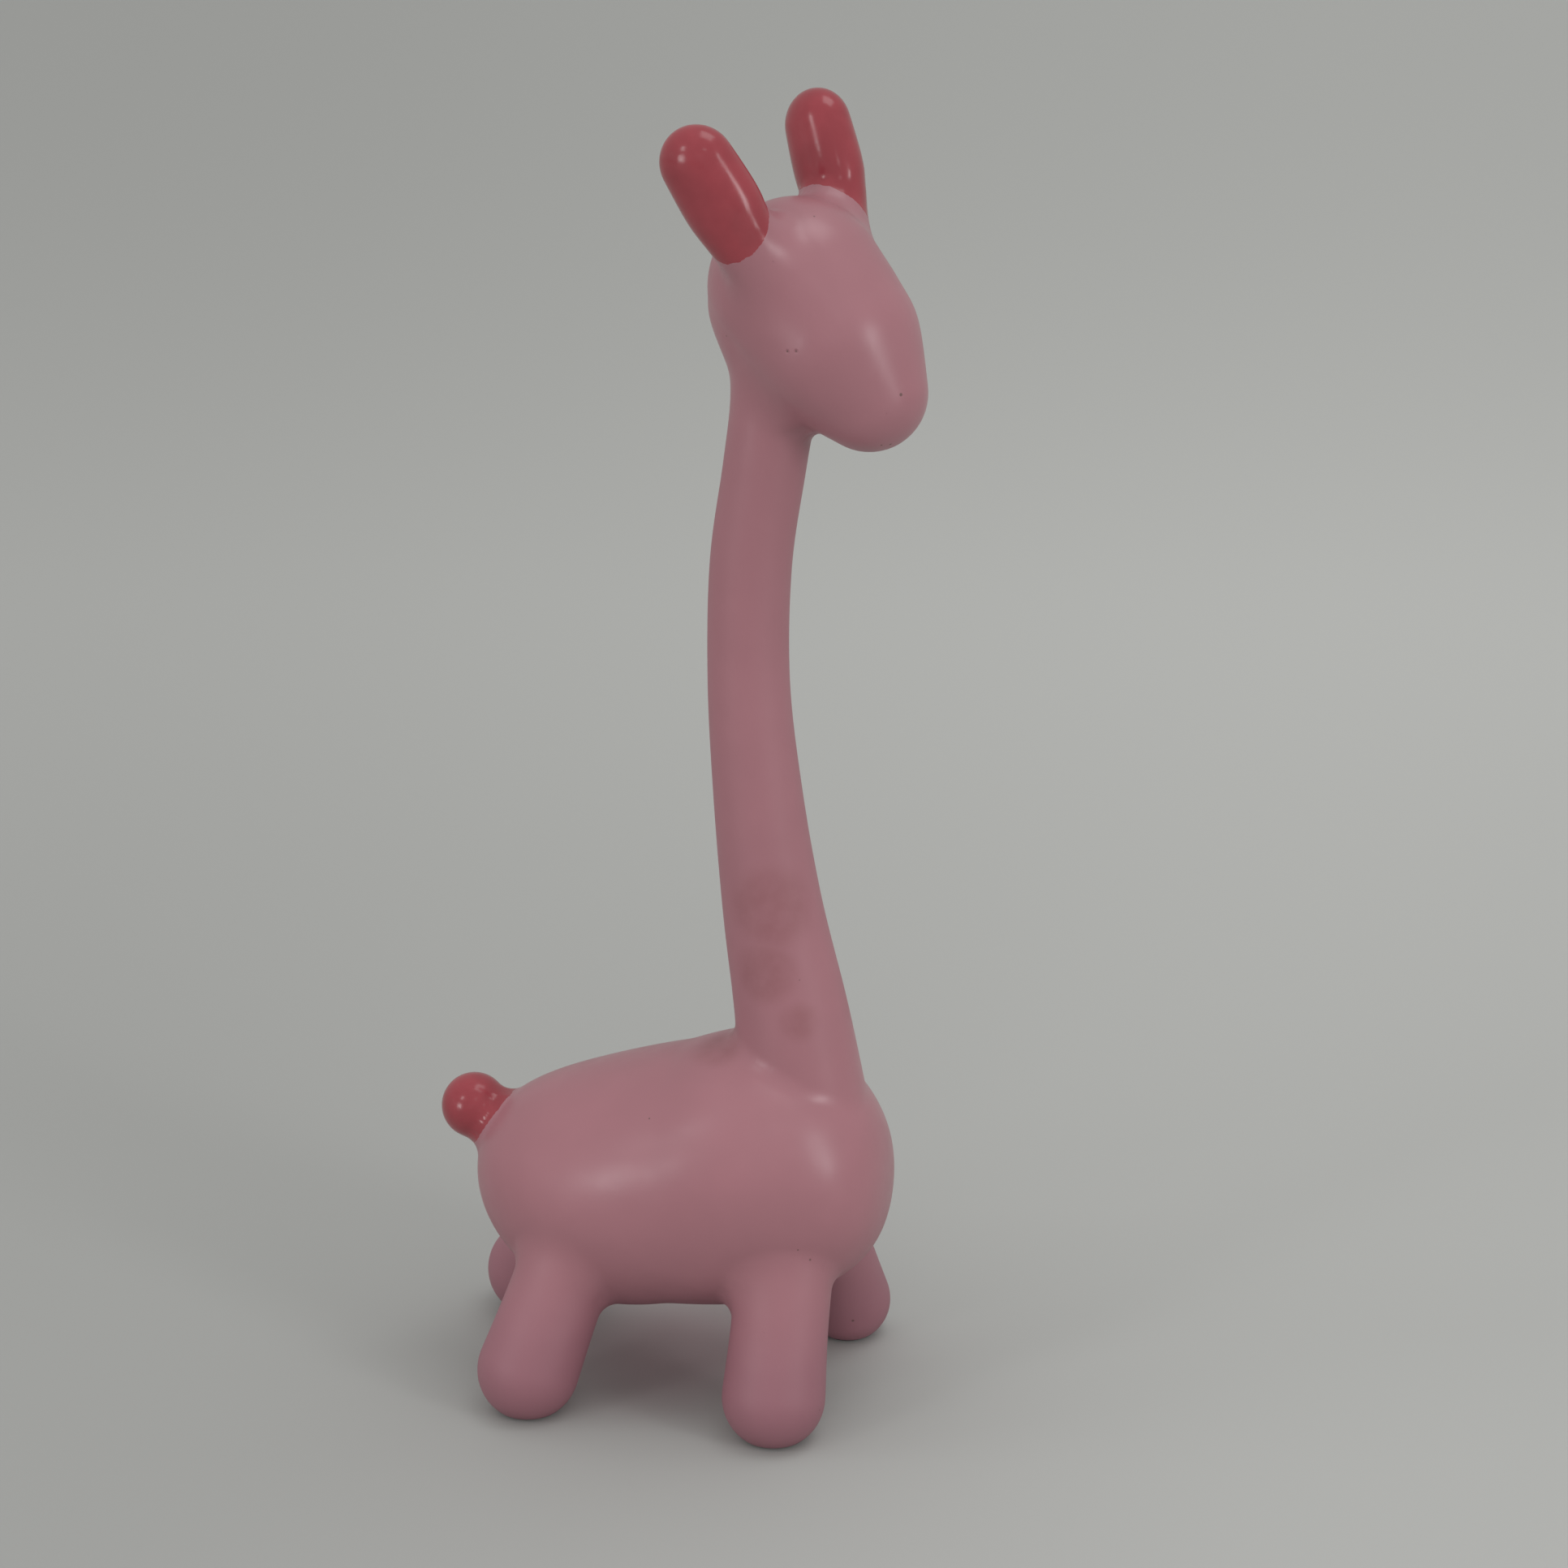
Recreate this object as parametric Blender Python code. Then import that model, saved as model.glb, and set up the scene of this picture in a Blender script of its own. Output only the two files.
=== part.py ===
"""Long-necked toy animal figure: painted resin castings, pinned together round a bent neck rod.

The outside is one blended balloon-like form. It is swelled out of simple round bodies, and then
parted into the castings that it is made of. Metres, +X forward, +Y the animal's left, +Z up.
"""
import math

import bmesh
import bpy
from mathutils import Matrix, Vector

# Fits
SEAM = 0.0003
PIN_FIT = 0.0003
OVERRUN = 0.004

# Torso, an egg with a full chest
BELLY_HEIGHT = 0.0205
TORSO_LENGTH = 0.0996
TORSO_WIDTH = 0.0610
TORSO_HEIGHT = 0.0624
TORSO_TILT = math.radians(2.5)
WITHERS_RISE = 0.0031
WITHERS_SWELL_SHARE = 0.09
RUMP_ROUNDNESS = 2.15
CHEST_ROUNDNESS = 2.6
TORSO_WALL = 0.0085
POUR_HOLE_RADIUS = 0.0055
PLUG_DEPTH = 0.0050
PLUG_TAPER_SHARE = 0.88
PLUG_RECESS = 0.0006

# Neck, a slim stalk that leans back and then forward
NECK_FROM_CHEST = 0.0224
NECK_SINK = 0.0168
NECK_LENGTH = 0.1853
NECK_ROOT_RADIUS = 0.0140
NECK_SLIM_RADIUS = 0.0091
NECK_LEAN = 0.0110
NECK_JOIN_LENGTH = 0.0290
HEAD_JOIN_DROP = 0.0308

# Head, a round skull with a blunt muzzle
SKULL_RADIUS = 0.0192
SKULL_FORWARD = 0.0043
SKULL_RISE = 0.0078
MUZZLE_RADIUS = 0.0112
MUZZLE_REACH = 0.0325
MUZZLE_DIP = math.radians(51.0)
HEAD_TURN = math.radians(-20.0)
HEAD_TILT = math.radians(6.0)

# Ears, flattened thumbs
EAR_HALF_WIDTH = 0.0083
EAR_HALF_THICKNESS = 0.0068
EAR_REACH = 0.0204
EAR_SPREAD = 0.0168
EAR_SETBACK = 0.0003
EAR_RISE = 0.0129
EAR_LEAN_BACK = math.radians(24.0)
EAR_SPLAY = math.radians(15.0)
EAR_TWIST = math.radians(14.0)
EAR_JOIN_RISE = 0.0014

# Tail, a ball on a short stalk
TAIL_RADIUS = 0.0080
TAIL_WAIST_RADIUS = 0.0056
TAIL_REACH = 0.0059
TAIL_RISE = math.radians(33.0)
TAIL_ABOVE_MIDDLE = 0.0083
TAIL_JOIN_LENGTH = 0.0008

# Legs, thumbs with flat soles
FOOT_RADIUS = 0.0119
LEG_ROOT_RADIUS = 0.0112
FOOT_HEIGHT = 0.0105
LEG_ROOT_RISE = 0.0175
LEG_ROOT_INSET = 0.0155
LEG_JOIN_SHARE = 0.48
FRONT_LEG_FROM_CHEST = 0.0205
REAR_LEG_FROM_RUMP = 0.0284
FRONT_RIGHT_STEP = 0.0003
FRONT_LEFT_STEP = 0.0031
REAR_RIGHT_STEP = 0.0075
REAR_LEFT_STEP = 0.0243
FRONT_SPLAY = 0.0125
FRONT_STANCE_SHIFT = 0.0022
REAR_SPLAY = 0.0103
REAR_STANCE_SHIFT = 0.0028
SOLE_HEIGHT = 0.0008

# Foot pads, thin discs let into the soles
PAD_RADIUS = 0.0052
PAD_THICKNESS = 0.0018

# Pins and neck rod
EAR_PIN_RADIUS = 0.0015
EAR_PIN_LENGTH = 0.0150
TAIL_PIN_RADIUS = 0.0015
TAIL_PIN_LENGTH = 0.0130
LEG_PIN_RADIUS = 0.0025
LEG_PIN_LENGTH = 0.0180
ROD_RADIUS = 0.0025
ROD_SINK = 0.0160
ROD_RISE = 0.0170

# Parting zones: start radius, end radius and length, as shares of the form that each goes round
EAR_ZONE_SHARES = (1.6, 5.0, 4.9)
TAIL_ZONE_SHARES = (1.25, 1.6, 3.0)
LEG_ZONE_SHARES = (1.25, 1.5, 3.0)
NECK_ZONE_SHARE = 1.5
ABOVE_NECK_SHARES = (1.0, 2.0, 2.0)
ABOVE_TORSO_SHARES = (0.09, 0.55, 1.0)

# Surface
VOXEL = 0.0008
FILLET_RADIUS = 0.0024
SOFTEN_PASSES = 10
SKIN_FACE_SHARE = 0.0295

FORWARD = Vector((1, 0, 0))
LEFT = Vector((0, 1, 0))
UP = Vector((0, 0, 1))

PINK = (0.36, 0.172, 0.196, 1)
CORAL = (0.34, 0.062, 0.078, 1)
STEEL = (0.50, 0.51, 0.53, 1)
PAD_GREY = (0.045, 0.045, 0.045, 1)
PLUG_WHITE = (0.66, 0.62, 0.57, 1)


def clear_scene():
    for thing in list(bpy.data.objects):
        bpy.data.objects.remove(thing, do_unlink=True)


def make_material(name, colour, roughness, metallic=0.0):
    material = bpy.data.materials.new(name)
    material.use_nodes = True
    shader = material.node_tree.nodes["Principled BSDF"]
    shader.inputs["Base Color"].default_value = colour
    shader.inputs["Roughness"].default_value = roughness
    shader.inputs["Metallic"].default_value = metallic
    return material


def add_object(name, mesh, material=None):
    thing = bpy.data.objects.new(name, mesh)
    bpy.context.scene.collection.objects.link(thing)
    if material:
        mesh.materials.clear()
        mesh.materials.append(material)
    return thing


def as_guide(thing):
    """A guide or a cutter shapes other pieces and isn't one itself."""
    thing.hide_render = True
    thing.display_type = "WIRE"
    return thing


# Round bodies

def blend_through(points, steps):
    """Points and radii on one smooth curve through the given ones."""
    padded = [points[0]] + list(points) + [points[-1]]
    path = []
    for index in range(1, len(padded) - 2):
        before, start, end, after = padded[index - 1:index + 3]
        for step in range(steps):
            t = step / steps
            path.append(tuple(
                0.5 * (2 * b + (c - a) * t + (2 * a - 5 * b + 4 * c - d) * t ** 2
                       + (3 * b - a - 3 * c + d) * t ** 3)
                for a, b, c, d in zip(before, start, end, after)))
    path.append(tuple(points[-1]))
    return path


def path_tangent(path, index):
    ahead = path[min(index + 1, len(path) - 1)]
    behind = path[max(index - 1, 0)]
    return (Vector(ahead[:3]) - Vector(behind[:3])).normalized()


def add_rings(body, rings, segments=48):
    """One closed skin through rings given as centre, side axis and up axis with their radii."""
    loops = []
    for centre, side, up in rings:
        loop = []
        for step in range(segments):
            angle = math.tau * step / segments
            loop.append(body.verts.new(centre + side * math.cos(angle) + up * math.sin(angle)))
        loops.append(loop)
    for lower, upper in zip(loops, loops[1:]):
        for step in range(segments):
            after = (step + 1) % segments
            body.faces.new((lower[step], lower[after], upper[after], upper[step]))
    body.faces.new(list(reversed(loops[0])))
    body.faces.new(loops[-1])


def add_thumb(body, path, side_share=1.0, across=LEFT, cap_rings=10):
    """A swept body with round ends, flatter across. Each path point is x, y, z and radius."""
    rings = []
    for index, point in enumerate(path):
        tangent = path_tangent(path, index)
        side = across - tangent * across.dot(tangent)
        side.normalize()
        rings.append((Vector(point[:3]), side, tangent.cross(side), tangent, point[3]))

    def cap(ring, inner, outward):
        """A ball end that carries on the taper of the last two rings."""
        centre, side, up, tangent, radius = ring
        taper = math.atan2(inner[4] - radius, (centre - inner[0]).length)
        ball = radius / math.cos(taper)
        middle = centre - tangent * outward * ball * math.sin(taper)
        turned = []
        for step in range(1, cap_rings):
            angle = taper + (math.pi / 2 - taper) * step / cap_rings
            narrowed = ball * math.cos(angle)
            turned.append((middle + tangent * outward * ball * math.sin(angle),
                           side * narrowed * side_share, up * narrowed))
        return turned

    whole = list(reversed(cap(rings[0], rings[1], -1)))
    whole += [(centre, side * radius * side_share, up * radius)
              for centre, side, up, _, radius in rings]
    whole += cap(rings[-1], rings[-2], 1)
    add_rings(body, whole)


def add_egg(body, centre, length, width, height, ring_count=40, segments=48):
    """The torso's egg along X, tilted, whose two halves have their own roundness."""
    rings = []
    for step in range(1, ring_count):
        along = -math.cos(math.pi * step / ring_count)
        roundness = CHEST_ROUNDNESS if along > 0 else RUMP_ROUNDNESS
        swell = (1 - abs(along) ** roundness) ** (1 / roundness)
        tilt = (FORWARD + UP * math.tan(TORSO_TILT)) * along * length / 2
        arch = UP * WITHERS_RISE * math.sin(math.pi * along)
        deepen = 1 + WITHERS_SWELL_SHARE * max(0, math.sin(math.pi * along))
        rings.append((centre + tilt + arch,
                      LEFT * swell * width / 2, UP * swell * deepen * height / 2))
    add_rings(body, rings, segments)


def add_cone(body, start, direction, start_radius, end_radius, length, segments=32):
    direction = direction.normalized()
    side = direction.orthogonal().normalized()
    up = direction.cross(side)
    add_rings(body, [(start, side * start_radius, up * start_radius),
                     (start + direction * length, side * end_radius, up * end_radius)], segments)


def finish_mesh(name, body):
    bmesh.ops.recalc_face_normals(body, faces=body.faces)
    mesh = bpy.data.meshes.new(name)
    body.to_mesh(mesh)
    body.free()
    return mesh


# Places worked out from the sizes

TORSO_CENTRE = Vector((0, 0, BELLY_HEIGHT + TORSO_HEIGHT / 2))
TORSO_TOP = BELLY_HEIGHT + TORSO_HEIGHT
NECK_START = Vector((TORSO_LENGTH / 2 - NECK_FROM_CHEST, 0, TORSO_TOP - NECK_SINK))

# Share of the neck's length, of its lean, and of the step from slim to root radius
NECK_SHARES = (
    (0.000, 0.25, 1.30),
    (0.143, -0.05, 0.84),
    (0.286, -0.48, 0.47),
    (0.429, -0.79, 0.20),
    (0.571, -0.98, 0.02),
    (0.714, -0.93, 0.00),
    (0.829, -0.65, 0.00),
    (0.905, -0.45, 0.09),
    (0.952, -0.32, 0.52),
    (1.000, -0.32, 1.12),
)


def neck_path():
    spare = NECK_ROOT_RADIUS - NECK_SLIM_RADIUS
    points = [(NECK_START.x + NECK_LEAN * lean_share, 0, NECK_START.z + NECK_LENGTH * share,
               NECK_SLIM_RADIUS + spare * radius_share)
              for share, lean_share, radius_share in NECK_SHARES]
    return blend_through(points, 8)


def place_on_neck(length):
    """Centre and direction of the neck at a length above its start."""
    path = neck_path()
    height = NECK_START.z + length
    index = next(i for i, point in enumerate(path) if point[2] >= height)
    below, above = Vector(path[index - 1][:3]), Vector(path[index][:3])
    share = (height - below.z) / (above.z - below.z)
    return below.lerp(above, share), path_tangent(path, index)


SKULL_CENTRE = Vector(neck_path()[-1][:3]) + Vector((SKULL_FORWARD, 0, SKULL_RISE))
HEAD_FRAME = (Matrix.Translation(SKULL_CENTRE) @ Matrix.Rotation(HEAD_TURN, 4, "Z")
              @ Matrix.Rotation(HEAD_TILT, 4, "X"))


def head_path():
    """Share of the reach, and share of the step from muzzle to skull radius."""
    taper_shares = ((0.0, 1.0), (0.3, 0.94), (0.6, 0.78), (1.0, 0.0))
    along = Vector((math.cos(MUZZLE_DIP), 0, -math.sin(MUZZLE_DIP)))
    points = []
    for share, taper_share in taper_shares:
        centre = HEAD_FRAME @ (along * MUZZLE_REACH * share)
        radius = MUZZLE_RADIUS + (SKULL_RADIUS - MUZZLE_RADIUS) * taper_share
        points.append((*centre, radius))
    return blend_through(points, 5)


def ear_axis(side):
    """Root and direction of an ear; side is +1 for the left one."""
    root = HEAD_FRAME @ Vector((-EAR_SETBACK, side * EAR_SPREAD, EAR_RISE))
    lean = Vector((-math.tan(EAR_LEAN_BACK), side * math.tan(EAR_SPLAY), 1)).normalized()
    return root, (HEAD_FRAME.to_3x3() @ lean).normalized()


def ear_across(side):
    """The direction through an ear's thickness, turned so that its face looks forward and out."""
    turned = HEAD_FRAME.to_3x3() @ Matrix.Rotation(-side * EAR_TWIST, 3, "Z")
    return (turned @ LEFT).normalized()


def ear_path(side):
    root, direction = ear_axis(side)
    swell_shares = ((-0.4, 1.0), (0.1, 0.93), (0.5, 1.03), (1.0, 0.98))
    points = [(*(root + direction * EAR_REACH * share), EAR_HALF_WIDTH * swell_share)
              for share, swell_share in swell_shares]
    return blend_through(points, 6)


def tail_axis():
    """Root of the tail on the rump, and its direction."""
    rise_share = abs(TAIL_ABOVE_MIDDLE) / (TORSO_HEIGHT / 2)
    back_share = (1 - rise_share ** RUMP_ROUNDNESS) ** (1 / RUMP_ROUNDNESS)
    root = TORSO_CENTRE - FORWARD * back_share * TORSO_LENGTH / 2 + UP * TAIL_ABOVE_MIDDLE
    return root, Vector((-math.cos(TAIL_RISE), 0, math.sin(TAIL_RISE)))


def tail_path():
    root, direction = tail_axis()
    shares = ((-1.5, 0.0), (-0.5, 0.0), (0.3, 0.4), (0.85, 1.0), (1.0, 1.0))
    points = [(*(root + direction * TAIL_REACH * share),
               TAIL_WAIST_RADIUS + (TAIL_RADIUS - TAIL_WAIST_RADIUS) * radius_share)
              for share, radius_share in shares]
    return blend_through(points, 5)


FRONT_LEGS = TORSO_LENGTH / 2 - FRONT_LEG_FROM_CHEST
REAR_LEGS = REAR_LEG_FROM_RUMP - TORSO_LENGTH / 2
LEG_ROOT_SPREAD = TORSO_WIDTH / 2 - LEG_ROOT_INSET
FRONT_STANCE = LEG_ROOT_SPREAD + FRONT_SPLAY
REAR_STANCE = LEG_ROOT_SPREAD + REAR_SPLAY

# Root forward, foot's step forward of it, foot sideways
LEGS = {
    "front_right": (FRONT_LEGS, FRONT_RIGHT_STEP, FRONT_STANCE_SHIFT - FRONT_STANCE),
    "front_left": (FRONT_LEGS, FRONT_LEFT_STEP, FRONT_STANCE_SHIFT + FRONT_STANCE),
    "rear_right": (REAR_LEGS, -REAR_RIGHT_STEP, -REAR_STANCE - REAR_STANCE_SHIFT),
    "rear_left": (REAR_LEGS, -REAR_LEFT_STEP, REAR_STANCE - REAR_STANCE_SHIFT),
}
LEG_GIRTH_SHARES = {"front_right": 1.0, "front_left": 0.88, "rear_right": 1.0, "rear_left": 1.0}


def leg_axis(leg):
    """Root, foot centre and direction of a leg."""
    forward, step, foot_left = LEGS[leg]
    root = Vector((forward, math.copysign(LEG_ROOT_SPREAD, foot_left),
                   BELLY_HEIGHT + LEG_ROOT_RISE))
    foot = Vector((forward + step, foot_left, FOOT_HEIGHT * LEG_GIRTH_SHARES[leg]))
    return root, foot, (foot - root).normalized()


def leg_path(leg):
    root, foot, _ = leg_axis(leg)
    root_radius = LEG_ROOT_RADIUS * LEG_GIRTH_SHARES[leg]
    points = [(*root, root_radius), (*root.lerp(foot, 0.5), root_radius),
              (*foot, FOOT_RADIUS * LEG_GIRTH_SHARES[leg])]
    return blend_through(points, 6)


def make_skin():
    """The whole outside as one blended skin, with filleted roots."""
    body = bmesh.new()
    add_egg(body, TORSO_CENTRE, TORSO_LENGTH, TORSO_WIDTH, TORSO_HEIGHT)
    add_thumb(body, neck_path())
    add_thumb(body, head_path())
    for side in (-1, 1):
        add_thumb(body, ear_path(side), EAR_HALF_THICKNESS / EAR_HALF_WIDTH, ear_across(side))
    add_thumb(body, tail_path())
    for leg in LEGS:
        add_thumb(body, leg_path(leg))
    forms = as_guide(add_object("figure_forms", finish_mesh("figure_forms", body)))

    for strength in (FILLET_RADIUS, -FILLET_RADIUS):
        merge = forms.modifiers.new("merge", "REMESH")
        merge.mode = "VOXEL"
        merge.voxel_size = VOXEL
        fillet = forms.modifiers.new("fillet", "DISPLACE")
        fillet.mid_level = 0
        fillet.strength = strength
    soften = forms.modifiers.new("soften", "SMOOTH")
    soften.factor = 0.5
    soften.iterations = SOFTEN_PASSES
    thin = forms.modifiers.new("thin", "DECIMATE")
    thin.ratio = SKIN_FACE_SHARE

    graph = bpy.context.evaluated_depsgraph_get()
    return bpy.data.meshes.new_from_object(forms.evaluated_get(graph))


# Parting the skin into castings

def make_zone(name, start, direction, size, shares):
    """A cone that marks off the part of the skin beyond its start."""
    body = bmesh.new()
    start_radius, end_radius, length = (size * share for share in shares)
    add_cone(body, start, direction, start_radius, end_radius, length)
    return as_guide(add_object(name, finish_mesh(name, body)))


def make_neck_zone(name, base, base_direction, top, top_direction, radius):
    """A drum whose two ends are square to the neck there."""
    body = bmesh.new()
    rings = []
    for centre, direction in ((base, base_direction), (top, top_direction)):
        side = LEFT - direction * LEFT.dot(direction)
        rings.append((centre, side.normalized() * radius,
                      direction.cross(side).normalized() * radius))
    add_rings(body, rings, 32)
    return as_guide(add_object(name, finish_mesh(name, body)))


def cut(thing, cutter, operation="DIFFERENCE"):
    modifier = thing.modifiers.new(cutter.name, "BOOLEAN")
    modifier.operation = operation
    modifier.object = cutter
    modifier.solver = "EXACT"


def add_casting(name, skin, material, keep=(), drop=()):
    thing = add_object(name, skin.copy(), material)
    for zone in keep:
        cut(thing, zone, "INTERSECT")
    for zone in drop:
        cut(thing, zone)
    return thing


def add_pin(name, centre, direction, radius, length, material):
    """A straight pin across a joint, and the bore that takes it."""
    pieces = []
    for label, spare in ((name, 0), (name + "_bore", PIN_FIT)):
        half = length / 2 + spare
        body = bmesh.new()
        add_cone(body, centre - direction * half, direction, radius + spare, radius + spare,
                 2 * half, 20)
        mesh = finish_mesh(label, body)
        mesh.shade_smooth()
        mesh.set_sharp_from_angle(angle=math.radians(30))
        pieces.append(add_object(label, mesh, material if not spare else None))
    return pieces[0], as_guide(pieces[1])


def add_rod(material):
    """The neck's bent rod, and its bore."""
    lowest = NECK_START.z + NECK_JOIN_LENGTH - ROD_SINK
    highest = NECK_START.z + NECK_LENGTH - HEAD_JOIN_DROP + ROD_RISE
    path = [Vector(point[:3]) for point in neck_path() if lowest <= point[2] <= highest][::3]
    pieces = []
    for label, spare in (("neck_rod", 0), ("neck_rod_bore", PIN_FIT)):
        rings = []
        for index, centre in enumerate(path):
            tangent = path_tangent(path, index)
            end = {0: -1, len(path) - 1: 1}.get(index, 0)
            reach = ROD_RADIUS + spare
            rings.append((centre + tangent * end * spare, LEFT * reach,
                          tangent.cross(LEFT) * reach))
        body = bmesh.new()
        add_rings(body, rings, 16)
        mesh = finish_mesh(label, body)
        mesh.shade_smooth()
        mesh.set_sharp_from_angle(angle=math.radians(40))
        pieces.append(add_object(label, mesh, material if not spare else None))
    return pieces[0], as_guide(pieces[1])


def add_plug(material):
    """The plug of the pour hole, and the hole, both on one cone."""
    bottom = TORSO_CENTRE - UP * TORSO_HEIGHT / 2

    def radius_at(height):
        narrowing = POUR_HOLE_RADIUS * (1 - PLUG_TAPER_SHARE) / PLUG_DEPTH
        return POUR_HOLE_RADIUS - narrowing * height

    hole = bmesh.new()
    add_cone(hole, bottom - UP * OVERRUN, UP, radius_at(-OVERRUN),
             radius_at(TORSO_WALL + OVERRUN), TORSO_WALL + 2 * OVERRUN)
    body = bmesh.new()
    add_cone(body, bottom + UP * PLUG_RECESS, UP, radius_at(PLUG_RECESS) - PIN_FIT,
             radius_at(PLUG_DEPTH) - PIN_FIT, PLUG_DEPTH - PLUG_RECESS)
    return (add_object("belly_plug", finish_mesh("belly_plug", body), material),
            as_guide(add_object("pour_hole", finish_mesh("pour_hole", hole))))


def make_core():
    """The hollow of the torso, a wall's thickness inside the egg."""
    body = bmesh.new()
    add_egg(body, TORSO_CENTRE, TORSO_LENGTH - 2 * TORSO_WALL, TORSO_WIDTH - 2 * TORSO_WALL,
            TORSO_HEIGHT - 2 * TORSO_WALL, 16, 24)
    return as_guide(add_object("torso_core", finish_mesh("torso_core", body)))


def add_pad(name, foot, material):
    """A foot pad, and the recess that takes it."""
    pieces = []
    for label, spare in ((name, 0), (name + "_recess", PIN_FIT)):
        body = bmesh.new()
        lowest = -OVERRUN if spare else 0
        reach = PAD_RADIUS + spare
        add_cone(body, Vector((foot.x, foot.y, lowest)), UP, reach, reach,
                 PAD_THICKNESS + spare - lowest, 28)
        pieces.append(add_object(label, finish_mesh(label, body), material if not spare else None))
    return pieces[0], as_guide(pieces[1])


def make_ground(reach):
    """Everything below the soles."""
    body = bmesh.new()
    add_cone(body, UP * (SOLE_HEIGHT - reach), UP, reach, reach, reach)
    return as_guide(add_object("below_soles", finish_mesh("below_soles", body)))


def build_figure():
    pink = make_material("pink_paint", PINK, 0.42)
    coral = make_material("coral_paint", CORAL, 0.22)
    steel = make_material("rod_steel", STEEL, 0.35, 1.0)
    pad_rubber = make_material("pad_rubber", PAD_GREY, 0.8)
    plug_rubber = make_material("plug_rubber", PLUG_WHITE, 0.7)
    skin = make_skin()
    pieces = []

    # Neck and head
    base, base_direction = place_on_neck(NECK_JOIN_LENGTH)
    top, top_direction = place_on_neck(NECK_LENGTH - HEAD_JOIN_DROP)
    head_reach = SKULL_RADIUS + MUZZLE_REACH
    half_seam = SEAM / 2
    above_torso = make_zone("above_torso", base - base_direction * half_seam, base_direction,
                            NECK_LENGTH + head_reach, ABOVE_TORSO_SHARES)
    neck_zone = make_neck_zone("neck_zone", base + base_direction * half_seam, base_direction,
                               top - top_direction * half_seam, top_direction,
                               NECK_ROOT_RADIUS * NECK_ZONE_SHARE)
    above_neck = make_zone("above_neck", top + top_direction * half_seam, top_direction,
                           head_reach, ABOVE_NECK_SHARES)
    rod, rod_bore = add_rod(steel)
    neck = add_casting("neck", skin, pink, keep=[neck_zone], drop=[rod_bore])
    head = add_casting("head", skin, pink, keep=[above_neck])
    pieces += [rod, neck, head]

    # Ears
    for label, side in (("right", -1), ("left", 1)):
        root, direction = ear_axis(side)
        outward = (root - SKULL_CENTRE).normalized()
        seat = root + outward * EAR_JOIN_RISE
        for spare in (half_seam, -half_seam):
            zone = make_zone(f"ear_zone_{label}", seat + outward * spare, outward,
                             EAR_HALF_WIDTH, EAR_ZONE_SHARES)
            if spare > 0:
                ear = add_casting(f"ear_{label}", skin, coral, keep=[zone])
            else:
                cut(head, zone)
        pin, bore = add_pin(f"ear_pin_{label}", seat, direction, EAR_PIN_RADIUS,
                            EAR_PIN_LENGTH, steel)
        cut(ear, bore)
        cut(head, bore)
        pieces += [ear, pin]
    cut(head, rod_bore)

    # Torso with its plug
    torso = add_casting("torso_shell", skin, pink, drop=[above_torso])
    plug, pour_hole = add_plug(plug_rubber)
    pieces += [torso, plug]

    # Tail
    root, direction = tail_axis()
    seat = root + direction * TAIL_JOIN_LENGTH
    for spare in (half_seam, -half_seam):
        zone = make_zone("tail_zone", seat + direction * spare, direction,
                         TAIL_RADIUS, TAIL_ZONE_SHARES)
        if spare > 0:
            tail = add_casting("tail", skin, coral, keep=[zone])
        else:
            cut(torso, zone)
    pin, bore = add_pin("tail_pin", seat, direction, TAIL_PIN_RADIUS, TAIL_PIN_LENGTH, steel)
    cut(tail, bore)
    cut(torso, bore)
    pieces += [tail, pin]

    # Legs with their pads
    below_soles = make_ground(TORSO_LENGTH)
    for leg in LEGS:
        root, foot, direction = leg_axis(leg)
        seat = root.lerp(foot, LEG_JOIN_SHARE)
        for spare in (half_seam, -half_seam):
            zone = make_zone(f"leg_zone_{leg}", seat + direction * spare, direction,
                             FOOT_RADIUS, LEG_ZONE_SHARES)
            if spare > 0:
                casting = add_casting(f"leg_{leg}", skin, pink, keep=[zone], drop=[below_soles])
            else:
                cut(torso, zone)
        pin, bore = add_pin(f"leg_pin_{leg}", seat, direction, LEG_PIN_RADIUS,
                            LEG_PIN_LENGTH, steel)
        cut(casting, bore)
        cut(torso, bore)
        pad, recess = add_pad(f"foot_pad_{leg}", foot, pad_rubber)
        cut(casting, recess)
        pieces += [casting, pin, pad]

    cut(torso, rod_bore)
    cut(torso, make_core())
    cut(torso, pour_hole)
    return pieces


def stand_at_origin(pieces):
    """Parents every piece to one empty, so that the figure stands centred on the origin."""
    graph = bpy.context.evaluated_depsgraph_get()
    corners = [piece.matrix_world @ Vector(corner)
               for piece in (piece.evaluated_get(graph) for piece in pieces)
               for corner in piece.bound_box]
    lowest = Vector([min(corner[axis] for corner in corners) for axis in range(3)])
    highest = Vector([max(corner[axis] for corner in corners) for axis in range(3)])
    figure = add_object("figure", None)
    for thing in list(bpy.data.objects):
        if thing is not figure:
            thing.parent = figure
    figure.location = (-(lowest.x + highest.x) / 2, -(lowest.y + highest.y) / 2, -lowest.z)


clear_scene()
stand_at_origin(build_figure())
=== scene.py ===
"""Looks of the long-necked toy animal figure.

The real figure is one hand-finished skin over its castings, painted satin pink with glossier coral
ears and tail. So the skin is swelled as one smooth form, in the same sizes as the castings, and then
parted exactly where they meet. Each part stands for its casting. Metres, +X forward, +Z up.
"""

import math

import bmesh
import bpy
import numpy as np
from mathutils import Matrix, Vector


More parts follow.
